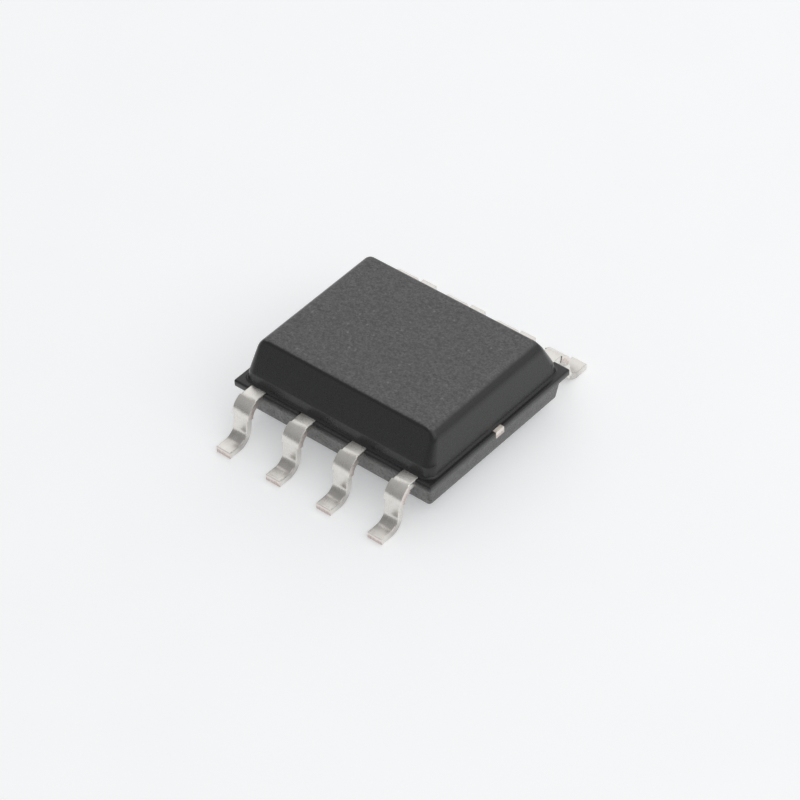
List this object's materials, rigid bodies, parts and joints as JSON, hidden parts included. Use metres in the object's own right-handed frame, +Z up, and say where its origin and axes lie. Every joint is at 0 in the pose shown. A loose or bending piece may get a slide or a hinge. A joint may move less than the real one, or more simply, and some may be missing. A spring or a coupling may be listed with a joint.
{
  "type": "small-outline switching regulator chip",
  "caption": "Black moulded small-outline switching regulator chip with two rows of silvery gull-wing leads for surface mounting.",
  "frame": {"origin": "on the seating plane of the eight feet, under the centre of the outline", "axes": "+X along the rows of leads, from lead_1 to lead_4; +Y across the rows, towards leads 5 to 8; +Z up, away from the board"},
  "size_m": [0.005, 0.0062, 0.0018],
  "materials": {
    "moulding_compound": "black filled epoxy, rough eroded top face, smoother drafted flanks",
    "lead_plating": "matt tin plate on copper alloy",
    "lead_frame_inner": "bare copper alloy frame with tinned tie-bar ends",
    "die_attach": "silver-filled adhesive",
    "silicon": "polished silicon",
    "bond_wire": "drawn gold wire"
  },
  "bodies": {
    "root": {"moulded_body": "moulding_compound", "lead_1": "lead_plating", "lead_2": "lead_plating", "lead_3": "lead_plating", "lead_4": "lead_plating", "lead_5": "lead_plating", "lead_6": "lead_plating", "lead_7": "lead_plating", "lead_8": "lead_plating", "die_pad": "lead_frame_inner", "die_attach": "die_attach", "die": "silicon", "wire_1": "bond_wire", "wire_2": "bond_wire", "wire_3": "bond_wire", "wire_4": "bond_wire", "wire_5": "bond_wire", "wire_6": "bond_wire", "wire_7": "bond_wire", "wire_8": "bond_wire"}
  },
  "joints": []
}
